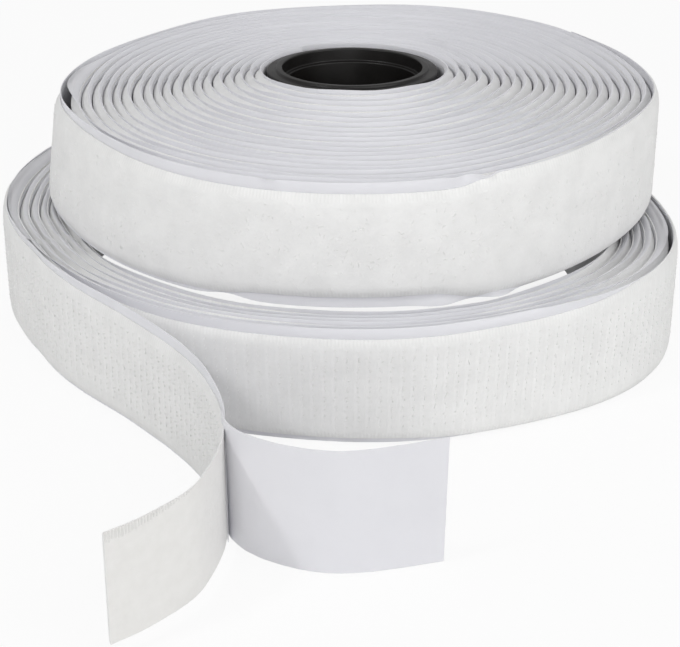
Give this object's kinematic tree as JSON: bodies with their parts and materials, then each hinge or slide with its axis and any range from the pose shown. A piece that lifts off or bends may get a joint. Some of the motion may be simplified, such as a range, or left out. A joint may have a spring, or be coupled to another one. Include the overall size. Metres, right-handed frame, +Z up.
{
  "type": "hook and loop tape roll",
  "caption": "Roll of loop tape on a moulded core, standing on a loose coil of hook tape, each wound with its release liner; the hook tape's tail is drawn out and its liner peeled back.",
  "frame": {"origin": "middle of the footprint, on the surface that the lower coil and the tail stand on", "axes": "+Z up along the upper roll's axis, -Y towards the drawn-out tail, +X to the right seen from the tail"},
  "size_m": [0.1402, 0.1988, 0.0514],
  "materials": {
    "hook_tape": "woven white nylon with rows of stiff hooks, adhesive on the back",
    "loop_tape": "woven white nylon with a napped pile of loops, adhesive on the back",
    "liner": "smooth white release film with a soft sheen",
    "core": "black moulded plastic, satin"
  },
  "bodies": {
    "hook_roll": {"hook_tape": "hook_tape", "hook_liner": "liner"},
    "hook_tail": {"hook_tail_tape": "hook_tape", "hook_tail_liner": "liner"},
    "hook_end": {"hook_end_tape": "hook_tape"},
    "peeled_liner": {"hook_peeled_liner": "liner"},
    "loop_core": {"loop_core": "core"},
    "loop_roll": {"loop_tape": "loop_tape", "loop_liner": "liner"}
  },
  "joints": [
    {"name": "tail_swing", "type": "hinge", "parent": "hook_roll", "child": "hook_tail", "pos_m": [-0.05694, -0.00379, 0], "axis": [0, 0, 1], "range_deg": [-35, 0]},
    {"name": "tape_end_peel", "type": "hinge", "parent": "hook_tail", "child": "hook_end", "pos_m": [-0.01741, -0.06931, 0], "axis": [0, 0, 1], "range_deg": [-40, 0]},
    {"name": "liner_peel", "type": "hinge", "parent": "hook_tail", "child": "peeled_liner", "pos_m": [-0.01649, -0.06929, 0], "axis": [0, 0, 1], "range_deg": [0, 30]},
    {"name": "loop_roll_lift", "type": "slide", "parent": "hook_roll", "child": "loop_core", "axis": [0, 0, 1], "range_m": [0, 0.06]},
    {"name": "loop_roll_turn", "type": "hinge", "parent": "loop_core", "child": "loop_roll", "pos_m": [0.00418, 0.02989, 0.0274], "axis": [0, 0, 1], "continuous": true}
  ]
}
